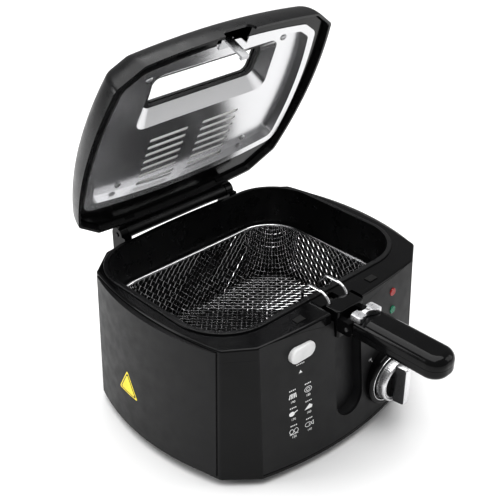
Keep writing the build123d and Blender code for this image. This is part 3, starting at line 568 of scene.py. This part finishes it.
def stroke(data, points, width=0.55):
    """Straight strokes of even width through the points."""
    for (u0, v0), (u1, v1) in zip(points, points[1:]):
        length = math.hypot(u1 - u0, v1 - v0)
        du, dv = (v1 - v0) / length * width / 2, (u0 - u1) / length * width / 2
        flat_polygon(data, [(u0 + du, v0 + dv), (u1 + du, v1 + dv), (u1 - du, v1 - dv), (u0 - du, v0 - dv)])


def oval(cu, cv, ru, rv, first=0.0, last=360.0, steps=20):
    """Points along an oval arc."""
    angles = [math.radians(first + (last - first) * k / steps) for k in range(steps + 1)]
    return [(cu + ru * math.cos(a), cv + rv * math.sin(a)) for a in angles]


def numeral(data, text, cu, cv, size):
    """Number in the built-in face, centred on a point."""
    curve = bpy.data.curves.new("numeral", "FONT")
    curve.body, curve.size, curve.align_x, curve.align_y = text, size, "CENTER", "CENTER"
    holder = bpy.data.objects.new("numeral", curve)
    flat = bpy.data.meshes.new_from_object(holder)
    made = [data.verts.new((cu + v.co.x, 0.0, cv + v.co.y)) for v in flat.vertices]
    for polygon in flat.polygons:
        data.faces.new([made[k] for k in polygon.vertices])
    bpy.data.objects.remove(holder)
    bpy.data.curves.remove(curve)
    bpy.data.meshes.remove(flat)


def lay_film(name, data, node, facing, material, lift=0.0):
    """Project flat faces onto a node along facing and give them the thickness of a print film.

    The faces are cut into small ones first, so that the film follows the curve of the node."""
    tree = surface(node)
    for axis in (0, 2):
        along = Vector((0, 0, 0))
        along[axis] = 1.0
        spread = [v.co[axis] for v in data.verts]
        cut = math.floor(min(spread) / FILM_CUT) * FILM_CUT + FILM_CUT
        while cut < max(spread):
            bmesh.ops.bisect_plane(data, geom=data.verts[:] + data.edges[:] + data.faces[:], dist=1e-4,
                                   plane_co=along * cut, plane_no=along)
            cut += FILM_CUT
    grown = bmesh.ops.extrude_face_region(data, geom=list(data.faces))
    top = {item for item in grown["geom"] if isinstance(item, bmesh.types.BMVert)}
    for vert in data.verts:
        across, up = vert.co.x, vert.co.z
        start = at(across, RAY_START, up) if facing.y > 0.5 else at(RAY_START, across, up)
        place, normal, _, _ = tree.ray_cast(start, facing)
        if place is None:
            raise ValueError("%s misses %s at %.1f, %.1f" % (name, node, across, up))
        outward = normal if normal.dot(facing) < 0 else -normal
        vert.co = place + outward * ((lift + FILM_THICKNESS) if vert in top else lift - FILM_SUNK) * MM
    piece(name, data, [material], "root")


def food_icon(data, kind, cu, cv):
    """Plain pictogram of a food, 7 to 11 mm wide."""
    if kind == "fries":
        for k in range(5):
            stroke(data, [(cu - 4 + 2 * k, cv - 2.5), (cu - 2.6 + 1.5 * k, cv + 2.8)], 1.0)
    elif kind == "fish":
        stroke(data, oval(cu - 1.5, cv, 3.6, 2.4))
        stroke(data, [(cu + 1.8, cv), (cu + 4.8, cv + 2.4), (cu + 4.8, cv - 2.4), (cu + 1.8, cv)])
        stroke(data, oval(cu - 1.5, cv, 1.6, 1.6, 300, 420))
    elif kind == "drumstick":
        flat_polygon(data, oval(cu - 1.6, cv, 3.2, 2.5)[:-1])
        stroke(data, [(cu + 1.0, cv + 0.4), (cu + 5.0, cv + 1.8)], 1.1)
    elif kind == "ring":
        stroke(data, oval(cu, cv, 4.2, 2.9))
        stroke(data, oval(cu, cv, 2.2, 1.4))
    elif kind == "balls":
        for k in (-1, 1):
            stroke(data, oval(cu + 2.6 * k, cv, 2.2, 2.6))
        stroke(data, [(cu - 4.8, cv - 3.4), (cu + 4.8, cv - 3.4)])
    else:
        flat_polygon(data, [(cu - 5.2, cv - 2.4), (cu + 3.6, cv - 2.4), (cu + 4.4, cv + 0.4),
                            (cu + 1.0, cv + 2.8)])


def printed_marks():
    """White print on the front: food pictograms with their temperatures, a caret, and the dial's numbers."""
    data = bmesh.new()
    for cu, cooler, foods in ICON_COLUMNS:
        for (cv, degrees), food in zip(ICON_ROWS, foods):
            food_icon(data, food, cu, cv)
            numeral(data, str(degrees - cooler), cu, cv - 6.6, 3.6)
            for dash in range(4):
                stroke(data, [(cu - 3.6 + 2.0 * dash, cv + 6.4), (cu - 2.4 + 2.0 * dash, cv + 6.4)], 1.3)
    flat_polygon(data, [(-63.6, 110.0), (-59.4, 110.0), (-61.5, 113.2)])
    for dash in range(5):
        stroke(data, [(-66.0 + 2.0 * dash, 119.8), (-64.8 + 2.0 * dash, 119.8)], 1.2)
    for step in range(3):
        angle = math.radians(128 - 26 * step)
        u, v = math.cos(angle), math.sin(angle)
        stroke(data, [(DIAL_X + TICK_FROM * u, DIAL_Z + TICK_FROM * v),
                      (DIAL_X + TICK_TO * u, DIAL_Z + TICK_TO * v)], 0.7)
        numeral(data, str(130 + 30 * step), DIAL_X + NUMBER_ACROSS * u, DIAL_Z + NUMBER_UP * v, 3.2)
    lay_film("front_print", data, "front_panel", Vector((0, 1, 0)), INK)


def side_label():
    """Plain yellow triangle with rounded corners and a dark line inside its edge."""
    centre_u, centre_v = LABEL_MIDDLE
    for layer, reach, material, lift in LABEL_LAYERS:
        points = []
        for corner in range(3):
            angle = 90 + 120 * corner
            a = math.radians(angle)
            inner = reach - LABEL_CORNER_IN
            cu, cv = centre_u + inner * math.cos(a), centre_v + inner * math.sin(a)
            points += oval(cu, cv, LABEL_CORNER, LABEL_CORNER, angle - 60, angle + 60, 6)
        data = bmesh.new()
        flat_polygon(data, points)
        lay_film(layer, data, "side_panel_left", Vector((1, 0, 0)), material, lift)


printed_marks()
side_label()


# ---------------------------------------------------------------- stage, camera and light
FLOOR = new_material("pale_floor", (0.93, 0.93, 0.93), 0.6)[0]
FLOOR_HALF = 4
floor_mesh = bpy.data.meshes.new("floor")
floor_mesh.from_pydata([(x * FLOOR_HALF, y * FLOOR_HALF, 0) for x, y in ((-1, -1), (1, -1), (1, 1), (-1, 1))],
                       [], [(0, 1, 2, 3)])
floor = bpy.data.objects.new("floor", floor_mesh)
floor_mesh.materials.append(FLOOR)
bpy.context.scene.collection.objects.link(floor)

AZIMUTH, ELEVATION = math.radians(-43.6), math.radians(30.7)
back = Vector((math.sin(AZIMUTH) * math.cos(ELEVATION), -math.cos(AZIMUTH) * math.cos(ELEVATION),
               math.sin(ELEVATION)))
camera_data = bpy.data.cameras.new("camera")
camera_data.lens, camera_data.sensor_width = 69.4, 36.0
camera = bpy.data.objects.new("camera", camera_data)
camera.location = at(-574.5, -589.4, 652.7)
camera.rotation_mode = "QUATERNION"
camera.rotation_quaternion = (-back).to_track_quat("-Z", "Y")
bpy.context.scene.collection.objects.link(camera)
bpy.context.scene.camera = camera


def area_light(name, place, target, size, power):
    """Soft rectangular light that faces its target."""
    data = bpy.data.lights.new(name, "AREA")
    data.shape, data.size, data.size_y, data.energy = "RECTANGLE", size[0], size[1], power
    lamp = bpy.data.objects.new(name, data)
    lamp.location = place
    lamp.rotation_mode = "QUATERNION"
    lamp.rotation_quaternion = (Vector(place) - Vector(target)).to_track_quat("Z", "Y")
    bpy.context.scene.collection.objects.link(lamp)


area_light("top_softbox", (0.0, 0.3, 2.4), (0, 0, 0.1), (3.2, 3.2), 88.0)
area_light("left_softbox", (-1.5, 1.1, 0.7), (0, 0, 0.2), (0.7, 0.9), 9.0)
area_light("right_softbox", (1.5, -1.2, 0.9), (0, 0, 0.15), (0.8, 1.2), 5.0)
world = bpy.data.worlds.new("world")
world.use_nodes = True
world.node_tree.nodes["Background"].inputs["Color"].default_value = (1.0, 1.0, 1.0, 1.0)
world.node_tree.nodes["Background"].inputs["Strength"].default_value = 0.3
bpy.context.scene.world = world
bpy.context.scene.view_settings.view_transform = "Standard"
bpy.context.scene.view_settings.look = "Medium High Contrast"
